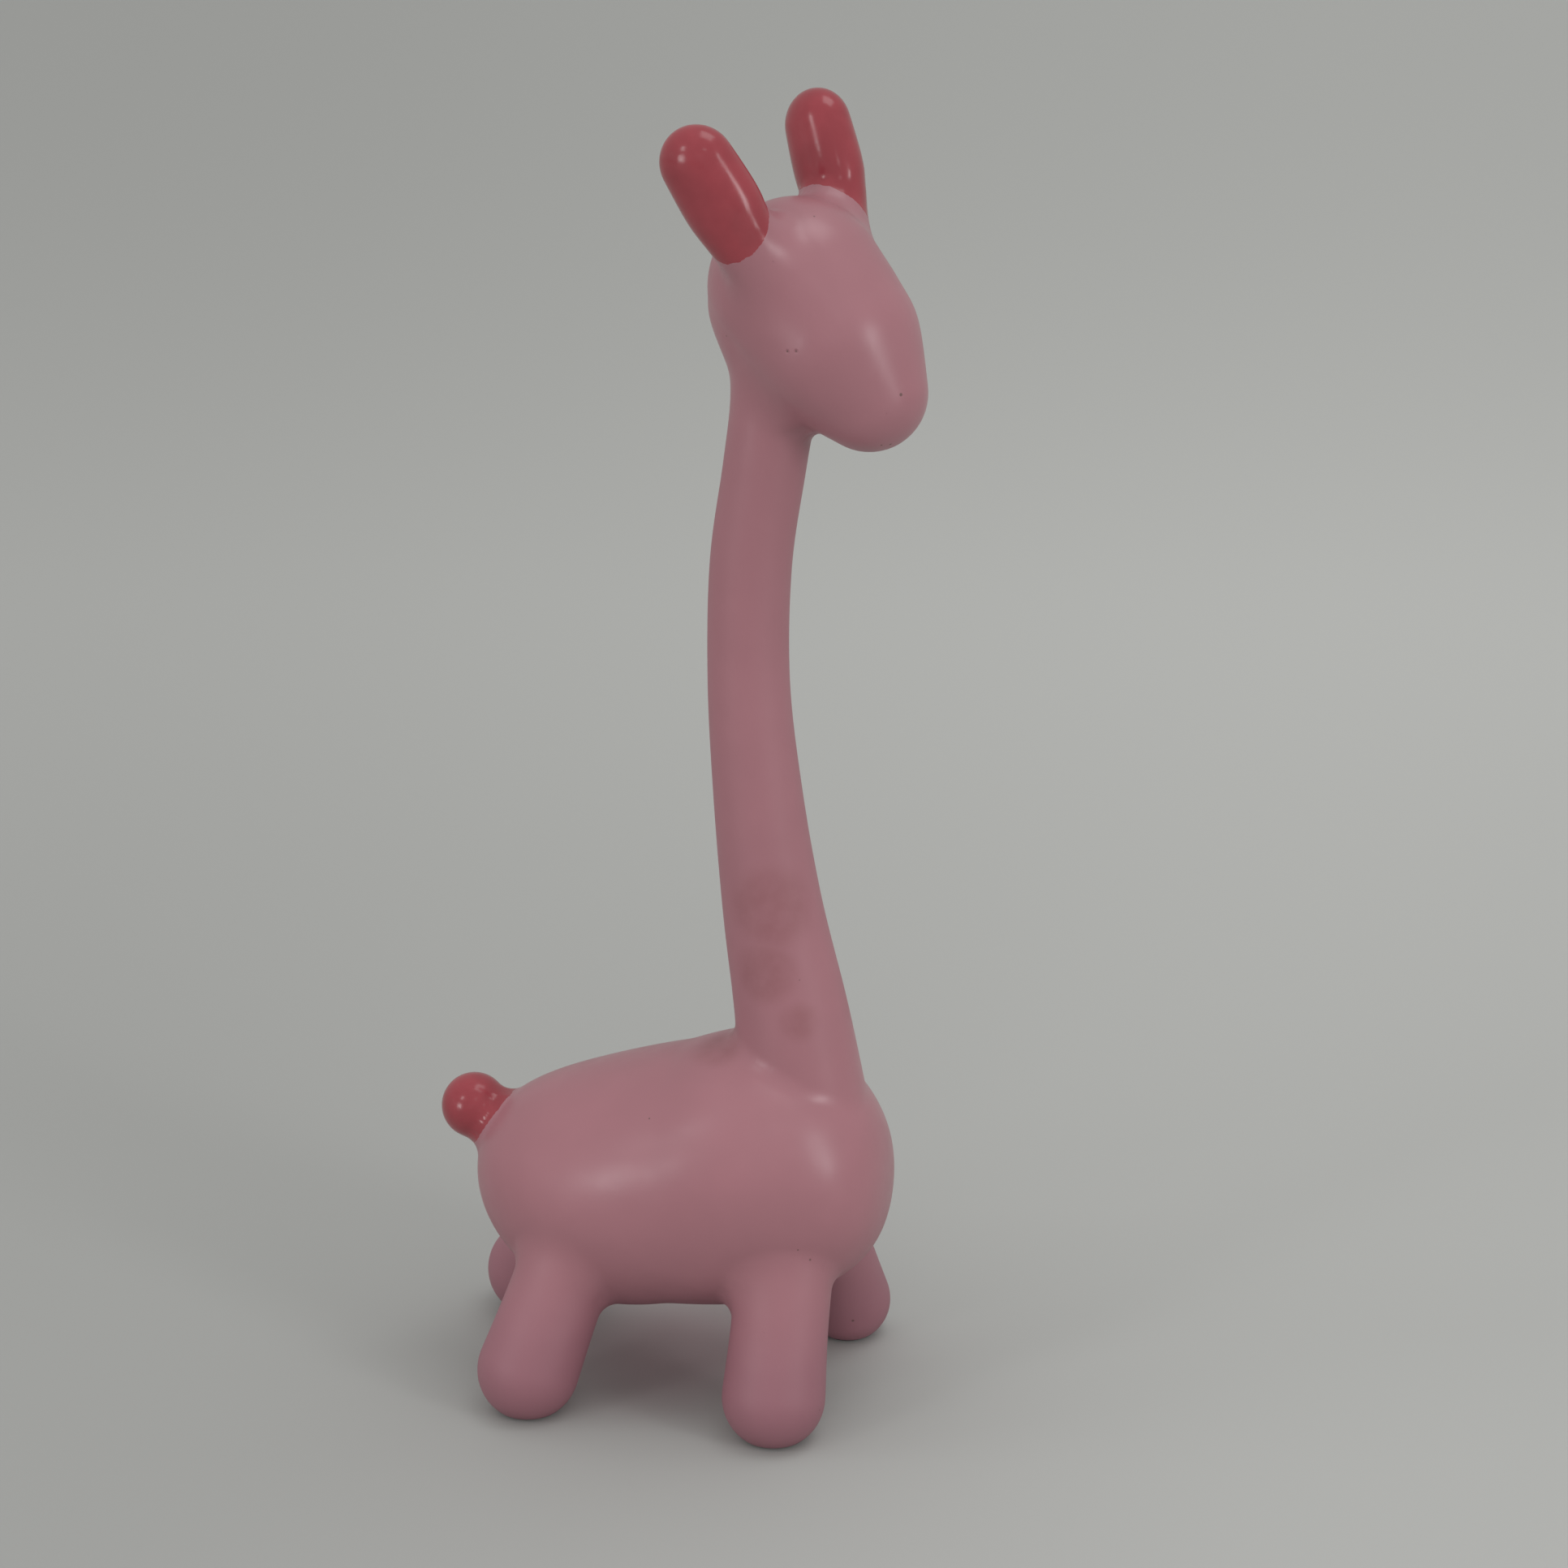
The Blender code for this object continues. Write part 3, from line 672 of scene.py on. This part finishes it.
def part_skin(skin):
    """A closed mesh for each casting. Shading runs on across the joins, as the paint does."""
    joins = list_joins()
    body = bmesh.new()
    body.from_mesh(skin)
    cut_at_joins(body, joins)
    body.normal_update()
    body.verts.index_update()
    body.faces.index_update()
    body.faces.ensure_lookup_table()
    names, owner = name_faces(body, joins)
    points = np.array([vert.co for vert in body.verts])
    normals = skin_normals(body)
    coral = paint_reach(points, joins)

    rims = {}
    for edge in body.edges:
        if len(edge.link_faces) == 2:
            one, other = (owner[face.index] for face in edge.link_faces)
            if one != other:
                pair = (min(one, other), max(one, other))
                rims.setdefault(pair, []).append((edge.verts[0].index, edge.verts[1].index))

    meshes = {}
    for number, name in enumerate(names):
        own = [face for face in body.faces if owner[face.index] == number]
        faces = [[vert.index for vert in face.verts] for face in own]
        loop_normals = [face.normal if face.material_index else normals[vert.index]
                        for face in own for vert in face.verts]
        own_points = list(points)
        for pair, edges in rims.items():
            if number in pair:
                seat, direction, _ = joins[names[pair[1]]]
                outward = -direction if number == pair[1] else direction
                run = trace_rim(edges)
                centre = points[run].mean(axis=0)
                first, second = points[run[0]] - centre, points[run[1]] - centre
                if Vector(np.cross(first, second)).dot(outward) < 0:
                    run.reverse()
                own_points.append(centre)
                for one, other in zip(run, run[1:] + run[:1]):
                    faces.append([one, other, len(own_points) - 1])
                    loop_normals += [np.array(outward)] * 3
        used = sorted({vert for face in faces for vert in face})
        renumbered = {vert: place for place, vert in enumerate(used)}
        mesh = bpy.data.meshes.new(name + "_skin")
        mesh.from_pydata([own_points[vert] + np.array(FORM_TO_FRAME) for vert in used], [],
                         [[renumbered[vert] for vert in face] for face in faces])
        mesh.shade_smooth()
        mesh.normals_split_custom_set([tuple(normal) for normal in loop_normals])
        values = [coral[vert] if vert < len(coral) else -1.0 for vert in used]
        field = mesh.attributes.new("coral_reach", "FLOAT", "POINT")
        field.data.foreach_set("value", values)
        meshes[name] = mesh
    body.free()
    return meshes


# Materials

class Graph:
    """Short forms for adding nodes to one material."""

    def __init__(self, name):
        self.material = bpy.data.materials.new(name)
        self.material.use_nodes = True
        self.tree = self.material.node_tree
        self.shader = self.tree.nodes["Principled BSDF"]
        self.place = self.add("ShaderNodeTexCoord").outputs["Object"]

    def add(self, kind, **settings):
        node = self.tree.nodes.new(kind)
        for key, value in settings.items():
            setattr(node, key, value)
        return node

    def feed(self, socket, value):
        if isinstance(value, bpy.types.NodeSocket):
            self.tree.links.new(value, socket)
        else:
            socket.default_value = value

    def math(self, operation, *values, clamp=False):
        node = self.add("ShaderNodeMath", operation=operation, use_clamp=clamp)
        for socket, value in zip(node.inputs, values):
            self.feed(socket, value)
        return node.outputs[0]

    def noise(self, size, detail=2.0, roughness=0.5, vector=None):
        """Soft noise from 0 to 1 whose features are about size metres wide."""
        node = self.add("ShaderNodeTexNoise")
        self.feed(node.inputs["Vector"], vector or self.place)
        self.feed(node.inputs["Scale"], 1 / size)
        self.feed(node.inputs["Detail"], detail)
        self.feed(node.inputs["Roughness"], roughness)
        return node.outputs["Fac"]

    def ramp(self, value, low, high, to_low=0.0, to_high=1.0):
        node = self.add("ShaderNodeMapRange", interpolation_type="SMOOTHSTEP")
        for socket, number in zip(node.inputs, (value, low, high, to_low, to_high)):
            self.feed(socket, number)
        return node.outputs["Result"]

    def mix(self, share, first, second):
        node = self.add("ShaderNodeMix", data_type="RGBA")
        self.feed(node.inputs["Factor"], share)
        self.feed(node.inputs["A"], first)
        self.feed(node.inputs["B"], second)
        return node.outputs["Result"]

    def near(self, point, radius, softness):
        """1 within a radius of a point, falling to 0."""
        node = self.add("ShaderNodeVectorMath", operation="DISTANCE")
        self.feed(node.inputs[0], self.place)
        self.feed(node.inputs[1], point)
        return self.ramp(node.outputs["Value"], radius, radius + softness, 1.0, 0.0)

    def specks(self, spacing, radius, rarity):
        """Round dots scattered in space, at most one in each cell of the given spacing."""
        node = self.add("ShaderNodeTexVoronoi")
        self.feed(node.inputs["Vector"], self.place)
        self.feed(node.inputs["Scale"], 1 / spacing)
        dot = self.ramp(node.outputs["Distance"], radius / spacing * 0.7, radius / spacing, 1.0, 0.0)
        split = self.add("ShaderNodeSeparateColor")
        self.feed(split.inputs["Color"], node.outputs["Color"])
        kept = self.math("GREATER_THAN", split.outputs["Red"], rarity)
        return self.math("MULTIPLY", dot, kept)

    def bump(self, height, distance, normal=None):
        node = self.add("ShaderNodeBump")
        self.feed(node.inputs["Height"], height)
        self.feed(node.inputs["Distance"], distance)
        if normal:
            self.feed(node.inputs["Normal"], normal)
        return node.outputs["Normal"]


def in_frame(x, y, z):
    """A place on the forms, in metres, where it stands in the frame."""
    return tuple(Vector((x, y, z)) + FORM_TO_FRAME)


# Specks that the photo shows: where, and how wide
SPECKS = (
    (in_frame(-0.0008, -0.0216, 0.0735), 0.00026),
    (in_frame(0.0371, -0.0217, 0.0435), 0.00036),
    (in_frame(0.0348, -0.0236, 0.0465), 0.00028),
    (in_frame(0.0538, -0.0123, 0.2400), 0.00045),
    (in_frame(0.0491, -0.0101, 0.2287), 0.00032),
    (in_frame(0.0507, -0.0087, 0.2287), 0.00036),
    (in_frame(0.0364, 0.0198, 0.0082), 0.00042),
    (in_frame(0.0358, -0.0272, 0.0316), 0.00028),
    (in_frame(0.0337, -0.0083, 0.2758), 0.00030),
    (in_frame(0.0311, -0.0196, 0.2492), 0.00024),
    (in_frame(0.0331, -0.0200, 0.2494), 0.00024),
)
# The last two specks lie in dents of their own
DENTS = [place for place, _ in SPECKS[-2:]]

# Handling smudges on the neck: where, how wide, and how far they fade
SMUDGES = (
    (in_frame(0.0237, -0.0121, 0.1075), 0.0040, 0.0050),
    (in_frame(0.0248, -0.0107, 0.1226), 0.0050, 0.0070),
    (in_frame(0.0317, -0.0117, 0.0966), 0.0015, 0.0045),
    (in_frame(0.0116, -0.0054, 0.0861), 0.0035, 0.0060),
)


def strongest(graph, values):
    """The largest of several values at each place."""
    largest = values[0]
    for value in values[1:]:
        largest = graph.math("MAXIMUM", largest, value)
    return largest


def shade(colour, share):
    return tuple(share * channel for channel in colour[:3]) + (1,)


def make_paint():
    """Satin pink and glossier coral, brushed up to a slightly ragged line at each coral root."""
    graph = Graph("painted_resin")
    shader = graph.shader

    reach = graph.add("ShaderNodeAttribute", attribute_name="coral_reach").outputs["Fac"]
    wobble = graph.math("MULTIPLY", graph.math("SUBTRACT", graph.noise(BRUSH_WANDER_SIZE), 0.5),
                        PAINT_WOBBLE * 2)
    bristle = graph.math("MULTIPLY", graph.math("SUBTRACT", graph.noise(BRISTLE_SIZE), 0.5),
                         PAINT_BRISTLE * 2)
    ragged = graph.math("ADD", reach, graph.math("ADD", wobble, bristle))
    coral = graph.ramp(ragged, -PAINT_EDGE, PAINT_EDGE)

    tone = graph.noise(PINK_CLOUD_SIZE, 3.0)
    pink = graph.mix(graph.ramp(tone, 0.35, 0.7), shade(PINK, 0.965), shade(PINK, 1.035))
    smudge = strongest(graph, [graph.near(point, radius, softness)
                               for point, radius, softness in SMUDGES])
    patches = graph.ramp(graph.noise(SMUDGE_PATCH_SIZE, 4.0), 0.3, 0.65, 0.6, 1)
    patchy = graph.math("MULTIPLY", smudge, patches)
    pink = graph.mix(graph.math("MULTIPLY", patchy, SMUDGE_SHARE), pink, SMUDGE_PINK)
    split = graph.add("ShaderNodeSeparateXYZ")
    graph.feed(split.inputs[0], graph.place)
    height = split.outputs["Z"]
    # Painted shade: the pink darkens towards the feet
    leg_shade = graph.ramp(height, LEG_SHADE_LOW, LEG_SHADE_HIGH, 1.0, 0.0)
    pink = graph.mix(leg_shade, pink, LEG_SHADED_PINK)
    red = graph.mix(graph.ramp(graph.noise(CORAL_CLOUD_SIZE, 3.0), 0.35, 0.7),
                    shade(CORAL, 0.93), shade(CORAL, 1.07))
    colour = graph.mix(coral, pink, red)

    dust = strongest(graph, [graph.near(point, width * 0.55, width * 0.5)
                             for point, width in SPECKS])
    scattered = graph.specks(*SCATTERED_DUST)
    dirt = graph.math("MAXIMUM", dust, graph.math("MULTIPLY", scattered, 0.8))
    colour = graph.mix(graph.math("MULTIPLY", dirt, DUST_SHARE), colour, DUST)
    graph.feed(shader.inputs["Base Color"], colour)

    satin = graph.ramp(graph.noise(SATIN_PATCH_SIZE, 3.0), 0.3, 0.7, *SATIN_ROUGHNESS)
    legs = graph.ramp(height, *LEGS_ROUGH_FADE, LEGS_ROUGHER, 0.0)
    neck = graph.math("MULTIPLY", graph.ramp(height, *NECK_ROUGH_START),
                      graph.ramp(height, *NECK_ROUGH_END, NECK_ROUGHER, 0.0))
    satin = graph.math("ADD", satin, graph.math("ADD", legs, neck))
    gloss = graph.ramp(graph.noise(GLOSS_PATCH_SIZE, 3.0), 0.3, 0.7, *GLOSS_ROUGHNESS)
    rough = graph.math("ADD", graph.math("MULTIPLY", satin, graph.math("SUBTRACT", 1.0, coral)),
                       graph.math("MULTIPLY", gloss, coral))
    graph.feed(shader.inputs["Roughness"], graph.math(
        "ADD", rough, graph.math("MULTIPLY", dirt, DIRT_ROUGHER), clamp=True))

    waves = graph.math("MULTIPLY", graph.noise(WAVE_SIZE, 1.0),
                       graph.math("SUBTRACT", 1.0, graph.math("MULTIPLY", coral, 0.6)))
    peel = graph.noise(PEEL_SIZE, 2.0)
    pinholes = graph.math("MULTIPLY", graph.specks(*PINHOLES), -1.0)
    dents = graph.math("MULTIPLY", strongest(graph, [graph.near(point, 0.0, DENT_RADIUS)
                                                     for point in DENTS]), -1.0)
    normal = graph.bump(waves, WAVE_HEIGHT)
    normal = graph.bump(peel, PEEL_HEIGHT, normal)
    normal = graph.bump(pinholes, PINHOLE_DEPTH, normal)
    normal = graph.bump(dents, DENT_DEPTH, normal)
    normal = graph.bump(coral, COAT_HEIGHT, normal)
    graph.feed(shader.inputs["Normal"], normal)
    shader.inputs["Specular IOR Level"].default_value = 0.5
    return graph.material


def make_rubber(name, dark, pale, roughness):
    graph = Graph(name)
    grain = graph.noise(GRAIN_SIZE, 4.0, 0.6)
    graph.feed(graph.shader.inputs["Base Color"], graph.mix(grain, dark, pale))
    graph.feed(graph.shader.inputs["Roughness"], graph.ramp(grain, 0.2, 0.8, roughness - 0.06,
                                                            roughness + 0.06))
    graph.feed(graph.shader.inputs["Normal"], graph.bump(grain, GRAIN_HEIGHT))
    return graph.material


def make_steel():
    """Plain drawn steel, with fine marks round the pin."""
    graph = Graph("drawn_steel")
    drawn = graph.noise(DRAWN_SIZE, 2.0)
    graph.feed(graph.shader.inputs["Base Color"],
               graph.mix(drawn, (0.42, 0.43, 0.45, 1), (0.58, 0.59, 0.61, 1)))
    graph.shader.inputs["Metallic"].default_value = 1.0
    graph.feed(graph.shader.inputs["Roughness"], graph.ramp(drawn, 0.2, 0.8, 0.28, 0.42))
    graph.feed(graph.shader.inputs["Normal"], graph.bump(drawn, DRAWN_HEIGHT))
    return graph.material


# Pieces

def dress_castings():
    paint = make_paint()
    for name, mesh in part_skin(make_skin()).items():
        piece = add_object(name + "_skin", mesh)
        mesh.materials.append(paint)
        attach(piece, "root")
        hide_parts(name)


def dress_small_parts():
    """Pads, plug, pins and rod keep their own shapes."""
    pad = make_rubber("pad_rubber", (0.030, 0.030, 0.031, 1), (0.062, 0.061, 0.060, 1), 0.8)
    plug = make_rubber("plug_rubber", (0.60, 0.56, 0.51, 1), (0.72, 0.68, 0.63, 1), 0.65)
    steel = make_steel()
    for name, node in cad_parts.items():
        if "pin" in name or name == "neck_rod":
            finish = steel
        elif name.startswith("foot_pad"):
            finish = pad
        elif name == "belly_plug":
            finish = plug
        else:
            continue
        node.data.materials.clear()
        node.data.materials.append(finish)


# Stage

# Seen as in the photo, the floor is painted darker at the left than at the right and paler far away,
# as painted shade and light, and a painted shadow, tinted pink like light bounced off the belly,
# lies under the belly. Distances run from a line this near in front of the figure.
FLOOR_REACH = 30.0
FLOOR_NEAR = 0.72
FLOOR_SIDE_SHADE_TONES = (0.89, 1.08)
FLOOR_FAR_REACH = (0.7, 1.6)
FLOOR_FAR_LIGHT_TONES = (1.0, 1.24)
# Painted shadow under the belly, tinted pink as if lit by light bounced off it
BELLY_SHADOW_AND_BOUNCE = (0.340, 0.268, 0.276, 1)
HORIZON_LIGHT = 0.27
ZENITH_LIGHT = 0.95

# Name, azimuth, elevation, distance, width, height, watts, and whether reflections show it
LAMPS = (
    ("overhead", 98, 74, 1.5, 0.77, 0.70, 3.2, True),
    ("left_low", -35, 8, 1.7, 0.40, 0.38, 2.8, True),
    ("left_high", -36, 33, 1.2, 0.16, 0.16, 0.5, True),
    ("right_strip", 67, 16, 1.2, 0.22, 0.52, 2.3, True),
    ("front_high", 28, 37, 1.2, 0.08, 0.08, 0.10, True),
    ("left_fill", -66, 12, 2.2, 0.8, 0.5, 5.6, False),
    ("right_fill", 62, 12, 2.2, 0.8, 0.5, 4.2, False),
    ("front_fill", 12, 14, 2.4, 1.0, 0.5, 5.2, False),
)


def make_floor():
    body = bmesh.new()
    corners = [body.verts.new((x * FLOOR_REACH, y * FLOOR_REACH, 0))
               for x, y in ((-1, -1), (1, -1), (1, 1), (-1, 1))]
    body.faces.new(corners)
    floor = add_object("floor", finish_mesh("floor", body))
    graph = Graph("pale_floor")
    turned = graph.add("ShaderNodeVectorRotate", rotation_type="Z_AXIS")
    graph.feed(turned.inputs["Vector"], graph.place)
    graph.feed(turned.inputs["Angle"], -VIEW_AZIMUTH)
    split = graph.add("ShaderNodeSeparateXYZ")
    graph.feed(split.inputs[0], turned.outputs["Vector"])
    away = graph.math("ADD", split.outputs["Y"], FLOOR_NEAR)
    aside = graph.math("DIVIDE", split.outputs["X"], graph.math("MAXIMUM", away, 0.1))
    # Painted shade at the left and painted light far away, scaling the floor's colour
    side_shade_tone = graph.ramp(aside, -0.25, 0.25, *FLOOR_SIDE_SHADE_TONES)
    far_light_tone = graph.ramp(away, *FLOOR_FAR_REACH, *FLOOR_FAR_LIGHT_TONES)
    tone = graph.math("MULTIPLY", side_shade_tone, far_light_tone)
    # Painted shadow under the belly, pinker as if lit by light bounced off it, fading out round it
    under = graph.near(FORM_TO_FRAME + LEFT * TORSO_WIDTH * 0.15 - FORWARD * TORSO_WIDTH * 0.08,
                       TORSO_WIDTH * 0.1, TORSO_WIDTH * 0.65)
    scaled = graph.add("ShaderNodeVectorMath", operation="SCALE")
    graph.feed(scaled.inputs[0], graph.mix(under, FLOOR_GREY, BELLY_SHADOW_AND_BOUNCE))
    graph.feed(scaled.inputs["Scale"], tone)
    graph.feed(graph.shader.inputs["Base Color"], scaled.outputs["Vector"])
    graph.shader.inputs["Roughness"].default_value = 0.7
    graph.shader.inputs["Specular IOR Level"].default_value = 0.2
    floor.data.materials.append(graph.material)


def make_world():
    """Even light from above, and the floor's grey where the camera or a reflection looks past it."""
    world = bpy.data.worlds.new("studio")
    world.use_nodes = True
    bpy.context.scene.world = world
    tree = world.node_tree
    nodes, links = tree.nodes, tree.links
    light = nodes["Background"]
    light.inputs["Color"].default_value = (0.99, 1.0, 0.985, 1)
    direction = nodes.new("ShaderNodeTexCoord")
    split = nodes.new("ShaderNodeSeparateXYZ")
    rise = nodes.new("ShaderNodeMapRange")
    rise.inputs["To Min"].default_value = HORIZON_LIGHT
    rise.inputs["To Max"].default_value = ZENITH_LIGHT
    links.new(direction.outputs["Generated"], split.inputs[0])
    links.new(split.outputs["Z"], rise.inputs["Value"])
    links.new(rise.outputs["Result"], light.inputs["Strength"])
    seen = nodes.new("ShaderNodeBackground")
    seen.inputs["Color"].default_value = FLOOR_GREY
    rays = nodes.new("ShaderNodeLightPath")
    direct = rays.outputs["Is Camera Ray"]
    for kind in ("Is Glossy Ray", "Is Transmission Ray"):
        either = nodes.new("ShaderNodeMath")
        either.operation = "MAXIMUM"
        links.new(direct, either.inputs[0])
        links.new(rays.outputs[kind], either.inputs[1])
        direct = either.outputs[0]
    mixed = nodes.new("ShaderNodeMixShader")
    links.new(direct, mixed.inputs["Fac"])
    links.new(light.outputs[0], mixed.inputs[1])
    links.new(seen.outputs[0], mixed.inputs[2])
    links.new(mixed.outputs[0], nodes["World Output"].inputs["Surface"])


def add_softbox(name, azimuth, elevation, distance, width, height, watts):
    """A soft lamp aimed at the figure. Azimuth 0 is towards -Y, and grows towards +X."""
    low, high = CAD_BOX
    aim = (low + high) / 2
    lamp = bpy.data.lights.new(name, "AREA")
    lamp.shape = "RECTANGLE"
    lamp.size = width
    lamp.size_y = height
    lamp.energy = watts
    box = bpy.data.objects.new(name, lamp)
    bpy.context.scene.collection.objects.link(box)
    turn, lift = math.radians(azimuth), math.radians(elevation)
    out = Vector((math.sin(turn) * math.cos(lift), -math.cos(turn) * math.cos(lift), math.sin(lift)))
    box.location = aim + out * distance
    box.rotation_mode = "QUATERNION"
    box.rotation_quaternion = (-out).to_track_quat("-Z", "Y")
    return box


def make_lights():
    """The fills stay out of reflections, which would show them as broad pale bands."""
    for *settings, in_reflections in LAMPS:
        add_softbox(*settings).visible_glossy = in_reflections


def make_camera():
    """The photo's angle of view."""
    back = Vector((math.sin(VIEW_AZIMUTH) * math.cos(VIEW_PITCH),
                   -math.cos(VIEW_AZIMUTH) * math.cos(VIEW_PITCH), math.sin(VIEW_PITCH)))
    lens = bpy.data.cameras.new("camera")
    lens.lens = VIEW_FOCAL
    lens.sensor_width = SENSOR
    camera = bpy.data.objects.new("camera", lens)
    bpy.context.scene.collection.objects.link(camera)
    camera.location = AIM_FROM_FORM + FORM_TO_FRAME + back * VIEW_DISTANCE
    camera.rotation_mode = "QUATERNION"
    camera.rotation_quaternion = (-back).to_track_quat("-Z", "Y")
    bpy.context.scene.camera = camera


make_camera()
dress_castings()
dress_small_parts()
make_floor()
make_world()
make_lights()
bpy.context.scene.view_settings.view_transform = "Standard"
